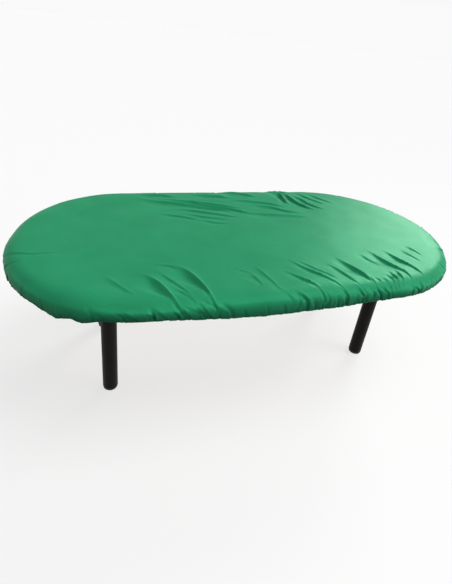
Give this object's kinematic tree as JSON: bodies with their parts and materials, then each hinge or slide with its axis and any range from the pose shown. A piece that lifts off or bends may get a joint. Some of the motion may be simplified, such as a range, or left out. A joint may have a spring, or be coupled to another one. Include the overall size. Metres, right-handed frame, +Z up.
{
  "type": "poker table",
  "caption": "Oval poker table under a fitted elastic-hemmed green cover, with a padded rail, a sunken playing surface and round black legs that fold.",
  "frame": {"origin": "on the floor, below the middle of the table", "axes": "+X along the table's length, +Y across it from front to back, +Z up"},
  "size_m": [2.44, 1.25, 0.755],
  "materials": {
    "cover_fabric": "satin, thin woven stretch fabric",
    "elastic": "matt braided",
    "rail_vinyl": "semi-gloss fine grain, stitched",
    "foam": "matt open cell",
    "playing_cloth": "matt dense weave",
    "plywood": "matt, laminated edge",
    "batten_wood": "matt planed",
    "leg_paint": "semi-gloss black powder coat",
    "bracket_paint": "black powder coat",
    "zinc": "bright zinc",
    "black_plastic": "moulded, fine texture",
    "foot_rubber": "matt"
  },
  "bodies": {
    "table_top": {"deck_board": "plywood", "playing_foam": "foam", "playing_cloth": "playing_cloth", "rail_ring": "plywood", "rail_foam": "foam", "rail_vinyl": "rail_vinyl", "batten_front": "batten_wood", "batten_back": "batten_wood", "rail_bolt_front_left": "zinc", "rail_bolt_front_right": "zinc", "rail_bolt_back_left": "zinc", "rail_bolt_back_right": "zinc", "rail_bolt_left_end": "zinc", "rail_bolt_right_end": "zinc", "bracket_front_left": "bracket_paint", "pivot_bolt_front_left": "zinc", "screw_front_left_1": "zinc", "screw_front_left_2": "zinc", "screw_front_left_3": "zinc", "screw_front_left_4": "zinc", "bracket_back_left": "bracket_paint", "pivot_bolt_back_left": "zinc", "screw_back_left_1": "zinc", "screw_back_left_2": "zinc", "screw_back_left_3": "zinc", "screw_back_left_4": "zinc", "bracket_front_right": "bracket_paint", "pivot_bolt_front_right": "zinc", "screw_front_right_1": "zinc", "screw_front_right_2": "zinc", "screw_front_right_3": "zinc", "screw_front_right_4": "zinc", "bracket_back_right": "bracket_paint", "pivot_bolt_back_right": "zinc", "screw_back_right_1": "zinc", "screw_back_right_2": "zinc", "screw_back_right_3": "zinc", "screw_back_right_4": "zinc"},
    "cover": {"cover_sheet": "cover_fabric", "hem_elastic": "elastic"},
    "leg_front_left": {"leg_head_front_left": "bracket_paint", "leg_tube_front_left": "leg_paint", "foot_cap_front_left": "black_plastic"},
    "foot_front_left": {"levelling_foot_front_left": "foot_rubber"},
    "pin_front_left": {"pull_pin_front_left": "zinc"},
    "leg_back_left": {"leg_head_back_left": "bracket_paint", "leg_tube_back_left": "leg_paint", "foot_cap_back_left": "black_plastic"},
    "foot_back_left": {"levelling_foot_back_left": "foot_rubber"},
    "pin_back_left": {"pull_pin_back_left": "zinc"},
    "leg_front_right": {"leg_head_front_right": "bracket_paint", "leg_tube_front_right": "leg_paint", "foot_cap_front_right": "black_plastic"},
    "foot_front_right": {"levelling_foot_front_right": "foot_rubber"},
    "pin_front_right": {"pull_pin_front_right": "zinc"},
    "leg_back_right": {"leg_head_back_right": "bracket_paint", "leg_tube_back_right": "leg_paint", "foot_cap_back_right": "black_plastic"},
    "foot_back_right": {"levelling_foot_back_right": "foot_rubber"},
    "pin_back_right": {"pull_pin_back_right": "zinc"}
  },
  "joints": [
    {"name": "cover_lift", "type": "slide", "parent": "table_top", "child": "cover", "axis": [0, 0, 1], "range_m": [0, 0.4]},
    {"name": "fold_front_left", "type": "hinge", "parent": "table_top", "child": "leg_front_left", "pos_m": [-0.762, -0.262, 0.635], "axis": [0, -1, 0], "range_deg": [0, 90]},
    {"name": "level_front_left", "type": "slide", "parent": "leg_front_left", "child": "foot_front_left", "axis": [0, 0, -1], "range_m": [0, 0.015]},
    {"name": "pull_front_left", "type": "slide", "parent": "table_top", "child": "pin_front_left", "axis": [-1, 0, 0], "range_m": [0, 0.008], "stiffness_N_per_m": 800, "springref_m": -0.006},
    {"name": "fold_back_left", "type": "hinge", "parent": "table_top", "child": "leg_back_left", "pos_m": [-0.762, 0.262, 0.635], "axis": [0, -1, 0], "range_deg": [0, 90]},
    {"name": "level_back_left", "type": "slide", "parent": "leg_back_left", "child": "foot_back_left", "axis": [0, 0, -1], "range_m": [0, 0.015]},
    {"name": "pull_back_left", "type": "slide", "parent": "table_top", "child": "pin_back_left", "axis": [-1, 0, 0], "range_m": [0, 0.008], "stiffness_N_per_m": 800, "springref_m": -0.006},
    {"name": "fold_front_right", "type": "hinge", "parent": "table_top", "child": "leg_front_right", "pos_m": [0.762, -0.262, 0.635], "axis": [0, 1, 0], "range_deg": [0, 90]},
    {"name": "level_front_right", "type": "slide", "parent": "leg_front_right", "child": "foot_front_right", "axis": [0, 0, -1], "range_m": [0, 0.015]},
    {"name": "pull_front_right", "type": "slide", "parent": "table_top", "child": "pin_front_right", "axis": [1, 0, 0], "range_m": [0, 0.008], "stiffness_N_per_m": 800, "springref_m": -0.006},
    {"name": "fold_back_right", "type": "hinge", "parent": "table_top", "child": "leg_back_right", "pos_m": [0.762, 0.262, 0.635], "axis": [0, 1, 0], "range_deg": [0, 90]},
    {"name": "level_back_right", "type": "slide", "parent": "leg_back_right", "child": "foot_back_right", "axis": [0, 0, -1], "range_m": [0, 0.015]},
    {"name": "pull_back_right", "type": "slide", "parent": "table_top", "child": "pin_back_right", "axis": [1, 0, 0], "range_m": [0, 0.008], "stiffness_N_per_m": 800, "springref_m": -0.006}
  ]
}
